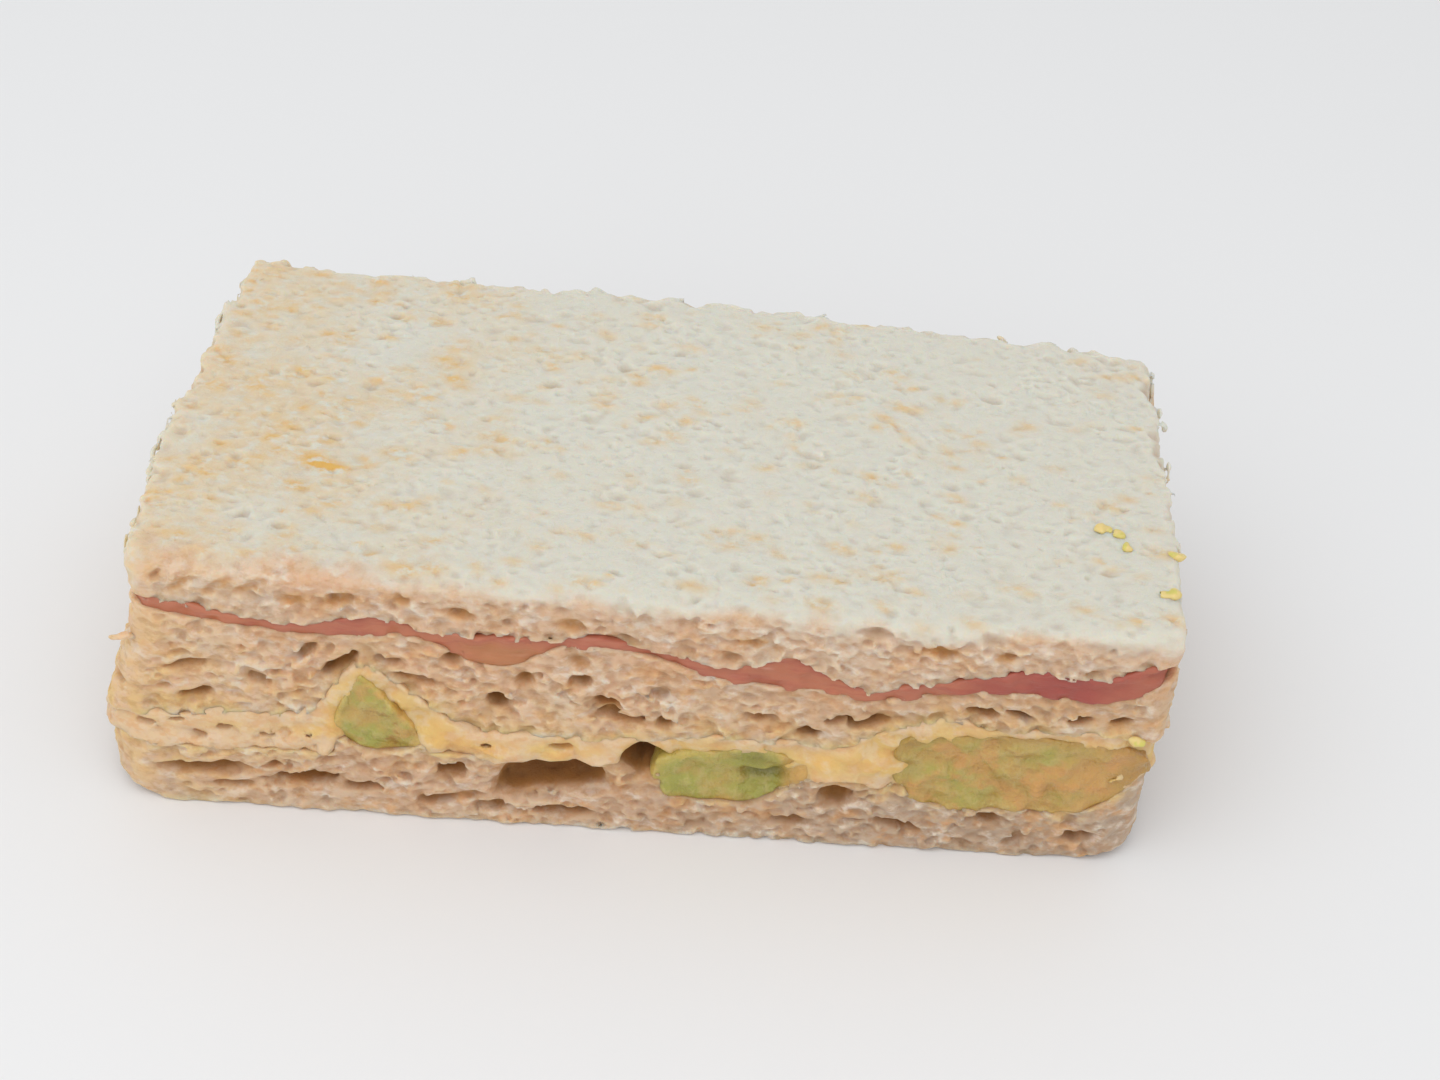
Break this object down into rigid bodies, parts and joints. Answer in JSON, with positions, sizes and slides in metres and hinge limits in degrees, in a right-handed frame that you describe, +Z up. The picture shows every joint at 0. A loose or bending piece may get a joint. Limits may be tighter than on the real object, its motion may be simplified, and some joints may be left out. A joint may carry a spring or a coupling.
{
  "type": "prosciutto and pineapple sandwich",
  "caption": "Crustless white bread sandwich, cut to an oblong block, with prosciutto in the upper layer and pineapple under a creamy spread in the lower one.",
  "frame": {"origin": "middle of the footprint, on the surface that the sandwich rests on", "axes": "+X along the long side, to the right as the front cut is seen; +Y from the front cut to the back; +Z up through the layers"},
  "size_m": [0.1102, 0.059, 0.0314],
  "materials": {
    "bread": "matte, open crumb",
    "spread": "soft satin",
    "prosciutto": "moist satin",
    "pineapple": "moist, slightly glossy"
  },
  "bodies": {
    "root": {"bread_bottom": "bread", "bread_middle": "bread", "bread_top": "bread", "spread": "spread", "prosciutto": "prosciutto", "pineapple_left": "pineapple", "pineapple_centre": "pineapple", "pineapple_right": "pineapple"}
  },
  "joints": []
}
